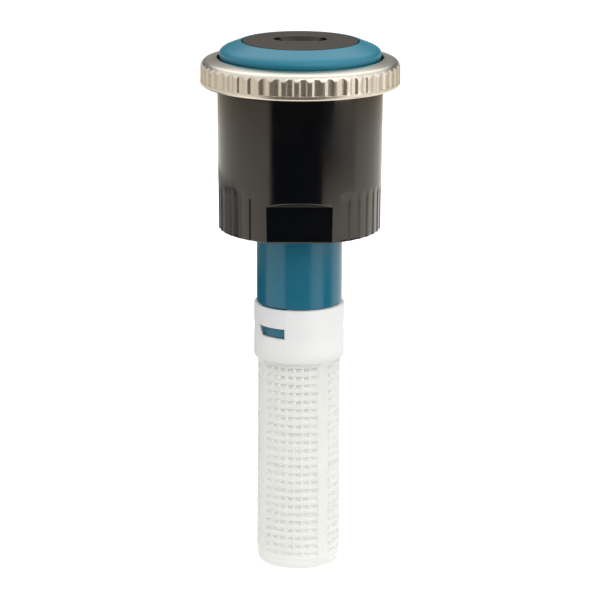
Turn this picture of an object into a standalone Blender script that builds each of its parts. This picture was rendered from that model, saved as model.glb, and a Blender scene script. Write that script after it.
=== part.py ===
"""Pop-up rotary sprinkler nozzle, as the separate pieces that would lie on a bench.

The origin is on the nozzle's axis, in the plane of the housing's lower rim, where the riser enters.
+Z points up, and the front faces -Y. Lengths below are in millimetres, angles in degrees.
Angle 0 faces the front, and angles grow towards +X.
"""
import math

import bmesh
import bpy

MM = 0.001

# Fits and travels
RUNNING_GAP = 0.15           # between pieces that turn or slide on each other
RESTING_GAP = 0.1            # between pieces that sit on each other
LIFT = 5.0                   # how far the head rises when water is on
THROTTLE_TRAVEL = 1.1

# Arc ring, the knurled steel ring that sets the watered arc
RING_RADIUS = 14.3
RING_BORE = 11.95
RING_LIP_BORE = 10.5
RING_BOTTOM = 21.0
RING_HEIGHT = 3.9
RING_LIP_HEIGHT = 0.9
RING_FILLET = 1.1
RING_RIM_BREAK = 0.3         # rounding of the plain rim below the teeth
RING_RIM_INSET = 0.05
RING_RIM_HEIGHT = 0.4
RING_TEETH = 48
TOOTH_START = 0.6            # above the ring's bottom
TOOTH_DEPTH = 0.25

# Housing, with the riser socket below and the head's bore above
HOUSING_TOP = 20.8
HOUSING_RADIUS = 11.72       # at the lower rim
HOUSING_TOP_RADIUS = 11.88
HOUSING_EDGE = 0.3
HOUSING_BORE = 10.55
HOUSING_BORE_BOTTOM = 16.4
BEAD_RADIUS = 9.2            # bead that the arc collar snaps past
BEAD_BOTTOM = 15.6
BEAD_TOP = 16.3
CAVITY_RADIUS = 9.7
WEB_THICKNESS = 1.6
SOCKET_RADIUS = 7.45         # minor radius of the riser thread
SOCKET_DEPTH = 10.0
SOCKET_LEAD_IN = (0.5, 0.6)  # widening and height of the socket's mouth
BOSS_RADIUS = 8.7
SKIRT_BORE = 9.9
CORE_DEPTH = 8.0
FLAT_DISTANCE = 10.8         # from the axis to the two spanner flats
FLAT_HALF_ANGLE = 23.0
FLAT_HEIGHT = 5.0
FLAT_LEAST_RAMP = 0.1        # a flat's top ramps out at 45 degrees, over at least this height
FLAT_STEPS = 3               # columns in half a flat
FLUTE_HEIGHT = 6.6
FLUTE_RUN_OUT = 0.2          # height over which a flute's top fades into the wall
FLUTE_DEPTH = 0.3
FLUTE_START = 28.5
FLUTE_PITCH = 9.5
FLUTE_WALL = 0.5             # half the angle over which a flute steps back out

# Stem, fixed in the housing, with the filter's spigot below
STEM_RADIUS = 6.2
STEM_BORE = 4.7
SPIGOT_RADIUS = 5.6
SPIGOT_BOTTOM = -17.0
STEM_FLANGE_RADIUS = 7.6
STEM_FLANGE_BOTTOM = 12.2
STEM_FLANGE_TOP = 13.6
RIB_RADIUS = 4.1             # inner face of the two guide ribs in the stem
RIB_HALF_ANGLE = 10.0
RIB_FLANK = 1.0              # angle over which a rib's side slopes
RIB_TOP = 6.0
RIB_ENDS = (0.4, 0.3)        # lengths of the slopes at a rib's lower and upper end
RIB_MIDDLES = (90.0, 270.0)
LUG_RADIUS = 6.05
LUG_SLACK = 0.1              # between a lug and its window's edges
LUG_SLACK_ANGLE = 0.7
LUG_FLANK = (0.5, 0.05)      # angle and height over which a lug's sides slope

# Inlet filter
COLLAR_RADIUS = 6.58
COLLAR_BORE = 5.8
COLLAR_TOP = -11.07
COLLAR_BOTTOM = -18.4
COLLAR_SEAT = 1.0            # thickness of the step below the spigot
COLLAR_EDGE = (0.1, 0.15)    # width and height of the collar's top bevel
RELIEF_RADIUS = 6.2          # thinned wall that springs over the lugs
WINDOW_BOTTOM = -15.42
WINDOW_TOP = -13.88
WINDOW_START = -60.7
WINDOW_END = -18.6
CAGE_TOP = -19.5
CAGE_TOP_RADIUS = 6.0
CAGE_BOTTOM = -48.9
CAGE_RADIUS = 6.16
CAGE_BORE = 4.95
POSTS = ((-69.0, -52.0), (28.0, 45.0))   # from edge to edge, and again half a turn on
SLOT_ROWS = 24
SLOT_PITCH = 1.222
FIRST_SLOT = -20.07
SLOT_HEIGHT = 0.54
FILTER_BOTTOM = -50.37
FILTER_FLOOR = -49.3
FLOOR_FILLET = (0.4, 0.3)
FOOT_RADIUS = 5.78
FOOT_KNUCKLE = (5.9, 0.3)    # radius and height of the corner above the foot

# Deflector and its cap
CAP_RADIUS = 8.3
CAP_TOP = 27.25              # at the cap's edge
CAP_EDGE = 0.15
CAP_CROWN = 0.28             # how far the cap's face rises from its edge to the middle
CAP_FACE_STEPS = (6.4, 4.4)  # radii at which the crowned face is drawn
CAP_FLANGE_BOTTOM = 26.0
CAP_PLUG_BOTTOM = 24.2
CAP_BUSH_RADIUS = 2.45       # hollow in the cap for the upper bearing
CAP_BUSH_TOP = 25.4
CAP_HOLE = 1.65
CAP_RECESS_FLOOR = 25.9
CAP_WELL_RADIUS = 2.6
CAP_SLOT = (7.6, 2.6)        # length and width of the key's slot
CUTTER_REACH = 1.0           # how far the recess's cutters stand above the cap
CHAMBER_RADIUS = 5.6
CHAMBER_FLOOR = 20.9
SEAL_POCKET = (2.9, 18.9)    # radius and floor of the lip seal's pocket
LEDGE = 25.35                # where the cap's seal sits in the deflector
DEFLECTOR_RADIUS = 11.7
DEFLECTOR_SHOULDER = 25.6
DEFLECTOR_BOTTOM = 22.9
DEFLECTOR_EDGE = 0.3
DEFLECTOR_BORE = 1.7
DEFLECTOR_HUB_BOTTOM = 18.0
CONE_START = 3.4             # radius at which the underside's cone begins
CONE_STEP = (2.0, 1.66)      # outward and upward step between the cone's points
CONE_END = 9.3
SHOULDER_ROUND = ((0.15, 0.35), (0.5, 0.62))   # in and up from the shoulder
STREAMS = 16                 # grooves that shape the water into streams
GROOVE_LIFTS = {1: 0.25, 2: 0.5, 3: 0.6, 4: 0.7, 5: 0.7, 6: 0.6}   # at each point along the cone
GROOVE_TWISTS = 3            # columns by which a groove turns on its way out

# Viscous brake inside the deflector
LOWER_BEARING = (21.0, 21.7)
UPPER_BEARING = (24.2, 25.3)
UPPER_BEARING_RADIUS = 2.35
STATOR_RADIUS = 5.0
STATOR_EDGE = 0.3
STATOR = (21.95, 23.9)
STATOR_GRIP = 0.05           # gap to the shaft that it is pressed on

# Arc collar, the funnel that turns with the ring
FUNNEL_BOTTOM = 13.9
FUNNEL_FOOT_TOP = 15.3
FUNNEL_FOOT_RADIUS = 9.45
FUNNEL_NECK = 9.05
FUNNEL_NECK_TOP = 16.6
FUNNEL_GROOVE = 9.5
FUNNEL_GROOVE_SPAN = (18.4, 19.6)
FUNNEL_RIM_THICKNESS = 0.6
FUNNEL_RIM_SLACK = 0.2
FUNNEL_DISH = 9.6
FUNNEL_DISH_DEPTH = 0.4
FUNNEL_THROAT = 5.0
FUNNEL_THROAT_SPAN = (15.6, 17.6)
FUNNEL_BORE = 5.9
FIXED_ARC = (105.0, 255.0)   # where the hub always shuts the water off
SHUTTER_ARC = (-105.0, 15.0)
SHUTTER_BORE = 3.05
SHUTTER_ROOT = 0.3           # how far the plate reaches into the funnel's wall
SHUTTER_SPAN = (14.5, 15.4)

# Nozzle hub, fixed in the stem's mouth
GUIDE_RADIUS = 2.9
GUIDE_BOTTOM = 10.6
HEAD_RADIUS = 4.2
HEAD_SHUT_RADIUS = 4.85
HEAD_SPAN = (15.6, 17.6)
HEAD_EDGE = (0.25, 0.2)
HEAD_UNDERCUT = 0.05
HUB_RIM_BORE = 3.9
HUB_RIM_TOP = 14.3
HUB_FLANGE_RADIUS = 5.6
HUB_SEAT = 0.05              # gap between the hub's flange and the stem
SPOKES = 3
SPOKE_SIZE = (1.0, 1.5, 1.6)
SPOKE_PLACE = (3.4, 11.5)    # radius and height of a spoke's middle

# Shaft, spring and throttle
SHAFT_RADIUS = 1.4
SHAFT_TOP = 25.75
SHAFT_SLOT = (4.0, 0.7, 1.6)
SHAFT_TAIL = 1.0             # length below the lower clip
CLIP_GROOVE = 0.3            # depth of the shaft's two clip grooves
CLIP_SLACK = 0.05
CLIP_BITE = 0.2              # how far a clip reaches into its groove
CLIP_RADIUS = 2.6
CLIP_THICKNESS = 0.4
CLIP_START, CLIP_STEP, CLIP_STEPS = 30.0, 15.0, 20
RETAINER_BOTTOM = -4.2
RETAINER_TOP = -3.0
RETAINER_RADIUS = 3.4
RETAINER_CLIP_BOTTOM = RETAINER_BOTTOM - RESTING_GAP - CLIP_THICKNESS
RESTRICTOR_BOTTOM = -5.8
RESTRICTOR_THICKNESS = 1.0
RESTRICTOR_BORE = 3.0
RESTRICTOR_SLACK = 0.12
THROTTLE_CLEARANCE = 0.5     # left open when the throttle is fully closed
THROTTLE_TOP = RESTRICTOR_BOTTOM - THROTTLE_CLEARANCE - LIFT - THROTTLE_TRAVEL
THROTTLE_THICKNESS = 1.6
THROTTLE_BOTTOM = THROTTLE_TOP - THROTTLE_THICKNESS
THROTTLE_RADIUS = 3.6
THROTTLE_CLIP_BOTTOM = THROTTLE_BOTTOM - RUNNING_GAP - CLIP_THICKNESS
FORK_SLACK = 3.0             # angle between a guide rib and the fork around it
FORK_END = 40.0
FORK_FLANK = 0.5
FORK_RADIUS = STEM_BORE - 0.2
SPRING_WIRE = 0.3            # radius of the wire
SPRING_RADIUS = 2.5          # to the middle of the wire
SPRING_TURNS = 6
SPRING_TOP = 9.7
SPRING_WASHER = (9.8, 10.3)
SPRING_WASHER_RADIUS = 3.4

# Seals: ring radius, cord radius and height of each O-ring
STEM_O_RING = (7.0, 0.26, (SOCKET_DEPTH + WEB_THICKNESS + STEM_FLANGE_BOTTOM) / 2)
ARC_COLLAR_O_RING = (10.02, 0.38, 19.0)
CAP_O_RING = (6.7, 0.3, LEDGE + 0.33)
RISER_WASHER = (8.8, SOCKET_DEPTH - RESTING_GAP)
RISER_WASHER_RADIUS = SOCKET_RADIUS - 0.05
LIP_SEAL = (18.95, 20.7)
LIP_SEAL_RADIUS = 2.8
LIP_SEAL_SLACK = 0.08
LIP_MOUTH = 0.3
LIP_WAIST = (0.5, 0.65)      # hollow behind the lip: outward, and up from the bottom

# Facets around each kind of piece
FINE, PLAIN, COARSE = 36, 24, 20


def clear_scene():
    for thing in list(bpy.data.objects):
        bpy.data.objects.remove(thing, do_unlink=True)


def linear(channel):
    return channel / 12.92 if channel <= 0.04045 else ((channel + 0.055) / 1.055) ** 2.4


def material(name, hex_colour, roughness, metallic=0.0):
    made = bpy.data.materials.new(name)
    made.use_nodes = True
    shader = made.node_tree.nodes["Principled BSDF"]
    channels = [linear(int(hex_colour[i:i + 2], 16) / 255.0) for i in (0, 2, 4)]
    shader.inputs["Base Color"].default_value = (*channels, 1.0)
    shader.inputs["Roughness"].default_value = roughness
    shader.inputs["Metallic"].default_value = metallic
    made.diffuse_color = (*channels, 1.0)
    return made


def spot(radius, angle, z):
    turn = math.radians(angle)
    return (radius * math.sin(turn) * MM, -radius * math.cos(turn) * MM, z * MM)


def finish(name, finish_material, mesh_builder):
    """Weld, turn the faces outward and link one object made in a bmesh."""
    bmesh.ops.remove_doubles(mesh_builder, verts=mesh_builder.verts, dist=1e-7)
    bmesh.ops.recalc_face_normals(mesh_builder, faces=mesh_builder.faces)
    mesh = bpy.data.meshes.new(name)
    mesh_builder.to_mesh(mesh)
    mesh_builder.free()
    mesh.shade_smooth()
    mesh.set_sharp_from_angle(angle=math.radians(30))
    made = bpy.data.objects.new(name, mesh)
    bpy.context.collection.objects.link(made)
    if finish_material:
        made.data.materials.append(finish_material)
    return made


def even_angles(count, start=0.0, sweep=360.0):
    return [start + sweep * i / count for i in range(count)]


def sorted_angles(*groups):
    return sorted({round(angle % 360.0, 4) for group in groups for angle in group})


def near(angle, centre, half):
    return abs((angle - centre + 180.0) % 360.0 - 180.0) <= half + 1e-6


def turned(name, finish_material, profile, angles, whole=True):
    """Turn a closed outline about the axis. The outline may be a function of the angle."""
    outline_at = profile if callable(profile) else lambda angle: profile
    builder = bmesh.new()
    loops = [[builder.verts.new(spot(r, angle, z)) for r, z in outline_at(angle)] for angle in angles]
    last = len(loops) if whole else len(loops) - 1
    for i in range(last):
        here, beyond = loops[i], loops[(i + 1) % len(loops)]
        for j in range(len(here)):
            k = (j + 1) % len(here)
            builder.faces.new((here[j], here[k], beyond[k], beyond[j]))
    if not whole:
        builder.faces.new(loops[0])
        builder.faces.new(loops[-1])
    return finish(name, finish_material, builder)


def tube_outline(inner, outer, bottom, top):
    return [(inner, bottom), (outer, bottom), (outer, top), (inner, top)]


def sector(name, inner, outer, bottom, top, start, end, facet=10.0):
    steps = max(2, round((end - start) / facet))
    angles = [start + (end - start) * i / steps for i in range(steps + 1)]
    return turned(name, None, tube_outline(inner, outer, bottom, top), angles, whole=False)


def box(name, size, centre, turn=0.0):
    builder = bmesh.new()
    bmesh.ops.create_cube(builder, size=1.0)
    bmesh.ops.scale(builder, vec=[s * MM for s in size], verts=builder.verts)
    made = finish(name, None, builder)
    made.location = [c * MM for c in centre]
    made.rotation_euler.z = math.radians(turn)
    return made


def combine(target, tool, operation):
    """Join or cut with a hidden tool object."""
    tool.hide_render = True
    tool.display_type = "WIRE"
    step = target.modifiers.new(tool.name, "BOOLEAN")
    step.operation = operation
    step.solver = "EXACT"
    step.object = tool


def o_ring(name, rubber, sizes, count=PLAIN, sides=6):
    ring_radius, cord_radius, centre_z = sizes
    corners = [math.radians(a) for a in even_angles(sides)]
    outline = [(ring_radius + cord_radius * math.cos(a), centre_z + cord_radius * math.sin(a))
               for a in corners]
    return turned(name, rubber, outline, even_angles(count))


def clip(name, stainless, bottom):
    """Open spring clip in one of the shaft's grooves."""
    angles = [CLIP_START + CLIP_STEP * i for i in range(CLIP_STEPS + 1)]
    outline = tube_outline(SHAFT_RADIUS - CLIP_BITE, CLIP_RADIUS, bottom, bottom + CLIP_THICKNESS)
    return turned(name, stainless, outline, angles, whole=False)


def from_flat(angle):
    """Angle from the nearer spanner flat's middle, 0 to 90."""
    away = abs((angle + 180.0) % 360.0 - 180.0)
    return min(away, 180.0 - away)


def housing_angles():
    quarter = [FLAT_HALF_ANGLE * i / FLAT_STEPS for i in range(FLAT_STEPS + 1)]
    quarter.append(FLUTE_START + FLUTE_PITCH / 5)
    wall = FLUTE_START + FLUTE_PITCH
    while wall < 90.0:
        quarter += [wall - FLUTE_WALL, wall + FLUTE_WALL]
        wall += FLUTE_PITCH
    right = quarter + [90.0] + [180.0 - a for a in reversed(quarter)]
    left = [360.0 - a for a in reversed(right[1:-1])]
    return right + left


def wall_radius(z):
    return HOUSING_RADIUS + (HOUSING_TOP_RADIUS - HOUSING_RADIUS) * z / HOUSING_TOP


def housing_outline(angle):
    """Housing's cut face: a fluted grip, two flats with ramped tops, the riser socket and the head's bore."""
    away = from_flat(angle)
    past_start = max(away - FLUTE_START, 0.0)
    cut = FLUTE_DEPTH * (past_start % FLUTE_PITCH) / FLUTE_PITCH
    on_flat = away <= FLAT_HALF_ANGLE
    chord = FLAT_DISTANCE / math.cos(math.radians(away)) if on_flat else HOUSING_TOP_RADIUS
    ramp_top = FLAT_HEIGHT + max(FLAT_LEAST_RAMP, wall_radius(FLAT_HEIGHT) - chord)
    low_edge = [(min(wall_radius(z) - cut, chord), z) for z in (0.0, HOUSING_EDGE, FLAT_HEIGHT)]
    low_edge[0] = (low_edge[0][0] - HOUSING_EDGE, 0.0)
    outside = low_edge + [
        (wall_radius(ramp_top) - cut, ramp_top), (wall_radius(FLUTE_HEIGHT) - cut, FLUTE_HEIGHT),
        (wall_radius(FLUTE_HEIGHT), FLUTE_HEIGHT + FLUTE_RUN_OUT), (HOUSING_TOP_RADIUS, HOUSING_TOP)]
    stem_hole = STEM_RADIUS + RUNNING_GAP
    web_top = SOCKET_DEPTH + WEB_THICKNESS
    widening, lead_height = SOCKET_LEAD_IN
    inside = [
        (HOUSING_BORE, HOUSING_TOP), (HOUSING_BORE, HOUSING_BORE_BOTTOM), (BEAD_RADIUS, BEAD_TOP),
        (BEAD_RADIUS, BEAD_BOTTOM), (CAVITY_RADIUS, BEAD_BOTTOM), (CAVITY_RADIUS, web_top),
        (stem_hole, web_top), (stem_hole, SOCKET_DEPTH), (SOCKET_RADIUS, SOCKET_DEPTH),
        (SOCKET_RADIUS, lead_height), (SOCKET_RADIUS + widening, 0.0), (BOSS_RADIUS, 0.0),
        (BOSS_RADIUS, CORE_DEPTH), (SKIRT_BORE, CORE_DEPTH), (SKIRT_BORE, 0.0)]
    return outside + inside


def make_housing(black):
    return turned("housing", black, housing_outline, housing_angles())


def lug_middles():
    middle = (WINDOW_START + WINDOW_END) / 2
    return middle, middle + 180.0


def lug_half_angle():
    return (WINDOW_END - WINDOW_START) / 2 - LUG_SLACK_ANGLE


def on_lug(angle):
    return any(near(angle, middle, lug_half_angle()) for middle in lug_middles())


def on_rib(angle, margin=0.0):
    return any(near(angle, middle, RIB_HALF_ANGLE + margin) for middle in RIB_MIDDLES)


def stem_outline(angle):
    """Stem's cut face: a flange in the housing, the tube, and the spigot with its two lugs for the filter."""
    lug = LUG_RADIUS if on_lug(angle) else SPIGOT_RADIUS
    bore = RIB_RADIUS if on_rib(angle) else STEM_BORE
    lug_bottom, lug_top = WINDOW_BOTTOM + LUG_SLACK, WINDOW_TOP - LUG_SLACK
    shoulder = COLLAR_TOP + RESTING_GAP
    flank = LUG_FLANK[1]
    lower_end, upper_end = RIB_ENDS
    return [
        (STEM_BORE, SPIGOT_BOTTOM), (SPIGOT_RADIUS, SPIGOT_BOTTOM), (SPIGOT_RADIUS, lug_bottom),
        (lug, lug_bottom + flank), (lug, lug_top - flank), (SPIGOT_RADIUS, lug_top),
        (SPIGOT_RADIUS, shoulder), (STEM_RADIUS, shoulder), (STEM_RADIUS, STEM_FLANGE_BOTTOM),
        (STEM_FLANGE_RADIUS, STEM_FLANGE_BOTTOM), (STEM_FLANGE_RADIUS, STEM_FLANGE_TOP),
        (STEM_BORE, STEM_FLANGE_TOP), (STEM_BORE, RIB_TOP + upper_end), (bore, RIB_TOP),
        (bore, SPIGOT_BOTTOM + lower_end)]


def make_stem(teal):
    half, flank = lug_half_angle(), LUG_FLANK[0]
    edges = []
    for middle in lug_middles():
        edges += [middle - half - flank, middle - half, middle + half, middle + half + flank]
    for middle in RIB_MIDDLES:
        edges += [middle - RIB_HALF_ANGLE - RIB_FLANK, middle + RIB_HALF_ANGLE + RIB_FLANK]
    return turned("stem", teal, stem_outline, sorted_angles(edges, even_angles(FINE)))


def make_seals(rubber):
    o_ring("stem_o_ring", rubber, STEM_O_RING)
    o_ring("arc_collar_o_ring", rubber, ARC_COLLAR_O_RING, count=FINE)
    o_ring("cap_o_ring", rubber, CAP_O_RING)
    washer = tube_outline(COLLAR_RADIUS + RUNNING_GAP, RISER_WASHER_RADIUS, *RISER_WASHER)
    turned("riser_washer", rubber, washer, even_angles(FINE))
    bottom, top = LIP_SEAL
    bore = SHAFT_RADIUS + LIP_SEAL_SLACK
    lip = [(bore + LIP_MOUTH, bottom), (LIP_SEAL_RADIUS, bottom), (LIP_SEAL_RADIUS, top),
           (bore + 2 * LIP_MOUTH, top), (bore, top - LIP_MOUTH), (bore + LIP_WAIST[0], bottom + LIP_WAIST[1])]
    turned("shaft_lip_seal", rubber, lip, even_angles(PLAIN))


def cage_radius(z):
    return CAGE_TOP_RADIUS + (CAGE_RADIUS - CAGE_TOP_RADIUS) * (CAGE_TOP - z) / (CAGE_TOP - CAGE_BOTTOM)


def filter_rows():
    """Rows of (outer z, outer radius, inner z, inner radius, kind), from the foot up to the collar's rim."""
    knuckle_radius, knuckle_height = FOOT_KNUCKLE
    fillet_width, fillet_height = FLOOR_FILLET
    rows = [
        (FILTER_BOTTOM, FOOT_RADIUS, FILTER_FLOOR, CAGE_BORE - fillet_width, "wall"),
        (FILTER_BOTTOM + knuckle_height, knuckle_radius, FILTER_FLOOR + fillet_height, CAGE_BORE, "wall"),
        (CAGE_BOTTOM, CAGE_RADIUS, CAGE_BOTTOM, CAGE_BORE, "wall")]
    for i in reversed(range(SLOT_ROWS)):
        middle = FIRST_SLOT - SLOT_PITCH * i
        for z, kind in ((middle - SLOT_HEIGHT / 2, "slot"), (middle + SLOT_HEIGHT / 2, "wall")):
            rows.append((z, cage_radius(z), z, CAGE_BORE, kind))
    rows.append((CAGE_TOP, CAGE_TOP_RADIUS, CAGE_TOP, CAGE_BORE, "wall"))
    rows.append((COLLAR_BOTTOM, COLLAR_RADIUS, COLLAR_BOTTOM, CAGE_BORE, "wall"))
    edge_width, edge_height = COLLAR_EDGE
    collar_rows = ((COLLAR_BOTTOM + COLLAR_SEAT, "wall"), (WINDOW_BOTTOM, "window"),
                   (WINDOW_TOP, "relief"), (COLLAR_TOP - edge_height, "relief"))
    rows += [(z, COLLAR_RADIUS, z, COLLAR_BORE, kind) for z, kind in collar_rows]
    rows.append((COLLAR_TOP, COLLAR_RADIUS - edge_width, COLLAR_TOP, COLLAR_BORE, "relief"))
    return rows


def filter_columns():
    """Angles of the cage's columns, and whether the cell after each opens in a slot row or in the window."""
    (rear_post, rear_panel), (front_post, front_panel) = POSTS
    window_middle = (WINDOW_START + WINDOW_END) / 2 + (rear_panel - WINDOW_START) / 2
    third = (rear_post + 180.0 - front_panel) / 3
    half = [
        (rear_post, "post"), (WINDOW_START, "post_window"), (rear_panel, "panel_window"),
        (window_middle, "panel_window"), (WINDOW_END, "panel"), ((WINDOW_END + front_post) / 2, "panel"),
        (front_post, "post"), (front_panel, "panel"), (front_panel + third, "panel"),
        (front_panel + 2 * third, "panel")]
    return half + [(angle + 180.0, kind) for angle, kind in half]


def inner_radius(row, angle):
    """Inside of the filter, thinned in the collar above the window."""
    half = (WINDOW_END - WINDOW_START) / 2
    relieved = row[4] in ("relief", "window") and any(near(angle, m, half) for m in lug_middles())
    return RELIEF_RADIUS if relieved else row[3]


def make_filter(white):
    """A slotted cage on four posts, closed below, with a collar that snaps over the stem's two lugs."""
    rows, columns = filter_rows(), filter_columns()
    across = len(columns)
    builder = bmesh.new()
    outer = [[builder.verts.new(spot(row[1], a, row[0])) for a, _ in columns] for row in rows]
    inner = [[builder.verts.new(spot(inner_radius(row, a), a, row[2])) for a, _ in columns] for row in rows]

    def is_open(row, column):
        if not 0 <= row < len(rows) - 1:
            return True
        row_kind, column_kind = rows[row][4], columns[column % across][1]
        if row_kind == "slot":
            return column_kind.startswith("panel")
        return row_kind == "window" and column_kind.endswith("window")

    for row in range(len(rows) - 1):
        for column in range(across):
            if is_open(row, column):
                continue
            right = (column + 1) % across
            a, b = (row, column), (row, right)
            c, d = (row + 1, right), (row + 1, column)
            corners = (a, b, c, d)
            builder.faces.new([outer[i][j] for i, j in corners])
            builder.faces.new([inner[i][j] for i, j in reversed(corners)])
            sides = (((row - 1, column), a, b), ((row, right), b, c), ((row + 1, column), c, d),
                     ((row, column - 1), d, a))
            for beyond, p, q in sides:
                if beyond[0] >= 0 and is_open(*beyond):
                    builder.faces.new((outer[p[0]][p[1]], outer[q[0]][q[1]],
                                       inner[q[0]][q[1]], inner[p[0]][p[1]]))
    builder.faces.new(outer[0])
    builder.faces.new(inner[0])
    return finish("inlet_filter", white, builder)


def ring_outline_for(tooth):
    """Arc ring's cut face, with its grip cut in by the given depth."""
    top, knee = RING_BOTTOM + RING_HEIGHT, RING_RADIUS - RING_FILLET
    grip = RING_RADIUS - tooth
    slant = RING_FILLET * math.sqrt(0.5)
    lip_top = RING_BOTTOM + RING_LIP_HEIGHT
    return [
        (RING_LIP_BORE, RING_BOTTOM), (RING_RADIUS - RING_RIM_BREAK, RING_BOTTOM),
        (RING_RADIUS - RING_RIM_INSET, RING_BOTTOM + RING_RIM_HEIGHT), (grip, RING_BOTTOM + TOOTH_START),
        (grip, top - RING_FILLET), (knee + slant - tooth / 2, top - RING_FILLET + slant), (knee, top),
        (RING_BORE, top), (RING_BORE, lip_top), (RING_LIP_BORE, lip_top)]


def make_arc_ring(steel):
    """A 2-facet tooth wave stands for the grip's grooves."""
    half_pitch = 180.0 / RING_TEETH

    def outline_at(angle):
        return ring_outline_for(TOOTH_DEPTH * (round(angle / half_pitch) % 2))

    return turned("arc_ring", steel, outline_at, even_angles(2 * RING_TEETH))


def make_arc_collar(black):
    """Funnel under the head that turns with the ring, with a shutter plate over part of the water's way."""
    sleeve, rim = HOUSING_BORE - RUNNING_GAP, RING_BORE - FUNNEL_RIM_SLACK
    rim_bottom = RING_BOTTOM + RING_LIP_HEIGHT + RESTING_GAP
    rim_top, dish_edge = rim_bottom + FUNNEL_RIM_THICKNESS, rim_bottom - FUNNEL_DISH_DEPTH
    groove_bottom, groove_top = FUNNEL_GROOVE_SPAN
    throat_bottom, throat_top = FUNNEL_THROAT_SPAN
    outline = [
        (FUNNEL_BORE, FUNNEL_BOTTOM), (FUNNEL_FOOT_RADIUS, FUNNEL_BOTTOM),
        (FUNNEL_FOOT_RADIUS, FUNNEL_FOOT_TOP), (FUNNEL_NECK, FUNNEL_FOOT_TOP),
        (FUNNEL_NECK, FUNNEL_NECK_TOP), (sleeve, FUNNEL_NECK_TOP), (sleeve, groove_bottom),
        (FUNNEL_GROOVE, groove_bottom), (FUNNEL_GROOVE, groove_top), (sleeve, groove_top),
        (sleeve, rim_bottom), (rim, rim_bottom), (rim, rim_top), (FUNNEL_DISH, rim_top),
        (FUNNEL_DISH, dish_edge), (FUNNEL_THROAT, throat_top), (FUNNEL_THROAT, throat_bottom),
        (FUNNEL_BORE, throat_bottom)]
    collar = turned("arc_collar", black, outline, even_angles(FINE))
    plate = sector("shutter", SHUTTER_BORE, FUNNEL_BORE + SHUTTER_ROOT, *SHUTTER_SPAN, *SHUTTER_ARC)
    combine(collar, plate, "UNION")
    return collar


def hub_outline(angle):
    """Cut face of the hub's middle, whose head is wider over the arc that is always shut."""
    bore = SHAFT_RADIUS + RUNNING_GAP
    shut = FIXED_ARC[0] <= angle % 360.0 <= FIXED_ARC[1]
    head = HEAD_SHUT_RADIUS if shut else HEAD_RADIUS
    bottom, top = HEAD_SPAN
    edge_width, edge_height = HEAD_EDGE
    return [(bore, GUIDE_BOTTOM), (GUIDE_RADIUS, GUIDE_BOTTOM), (GUIDE_RADIUS, bottom - HEAD_UNDERCUT),
            (head, bottom), (head, top - edge_height), (head - edge_width, top), (bore, top)]


def make_nozzle_hub(acetal):
    """Fixed hub in the stem's mouth: a guide for the shaft on spokes, and a head that shuts the rear arc."""
    hub = turned("nozzle_hub", acetal, hub_outline, even_angles(PLAIN))
    rim_radius, seat = STEM_BORE - RUNNING_GAP, STEM_FLANGE_TOP + HUB_SEAT
    rim_outline = [(HUB_RIM_BORE, GUIDE_BOTTOM), (rim_radius, GUIDE_BOTTOM), (rim_radius, seat),
                   (HUB_FLANGE_RADIUS, seat), (HUB_FLANGE_RADIUS, HUB_RIM_TOP), (HUB_RIM_BORE, HUB_RIM_TOP)]
    rim = turned("hub_rim", None, rim_outline, even_angles(PLAIN))
    radius, height = SPOKE_PLACE
    for turn in even_angles(SPOKES, start=30.0):
        x, y, _ = spot(radius, turn, 0.0)
        spoke = box("hub_spoke_%d" % turn, SPOKE_SIZE, (x / MM, y / MM, height), turn)
        combine(hub, spoke, "UNION")
    combine(hub, rim, "UNION")
    return hub


def keyed_disc(name, acetal, bottom, top, disc_radius):
    """A disc on the shaft whose two forks run along the stem's guide ribs, so that it can't turn."""
    bore = SHAFT_RADIUS + RESTING_GAP
    fork_start = RIB_HALF_ANGLE + FORK_SLACK
    edges = []
    for middle in RIB_MIDDLES:
        for half in (fork_start, fork_start + FORK_FLANK, FORK_END, FORK_END + FORK_FLANK):
            edges += [middle - half, middle + half]

    def outline(angle):
        away = min(abs(angle - middle) for middle in RIB_MIDDLES)
        on_fork = fork_start + FORK_FLANK / 2 < away < FORK_END + FORK_FLANK / 2
        return tube_outline(bore, FORK_RADIUS if on_fork else disc_radius, bottom, top)

    return turned(name, acetal, outline, sorted_angles(edges, even_angles(18)))


def make_restrictor(acetal):
    """Ring that the throttle closes on, held on the stem's guide ribs."""
    clear, flank = FORK_SLACK, RIB_FLANK

    def outline(angle):
        edge = RIB_RADIUS - RUNNING_GAP if on_rib(angle, clear) else STEM_BORE - RESTRICTOR_SLACK
        top = RESTRICTOR_BOTTOM + RESTRICTOR_THICKNESS
        return tube_outline(RESTRICTOR_BORE, edge, RESTRICTOR_BOTTOM, top)

    halves = (RIB_HALF_ANGLE + clear, RIB_HALF_ANGLE + clear + flank)
    edges = [middle + side * half for middle in RIB_MIDDLES for half in halves for side in (-1, 1)]
    return turned("flow_restrictor", acetal, outline, sorted_angles(edges, even_angles(PLAIN)))


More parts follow.
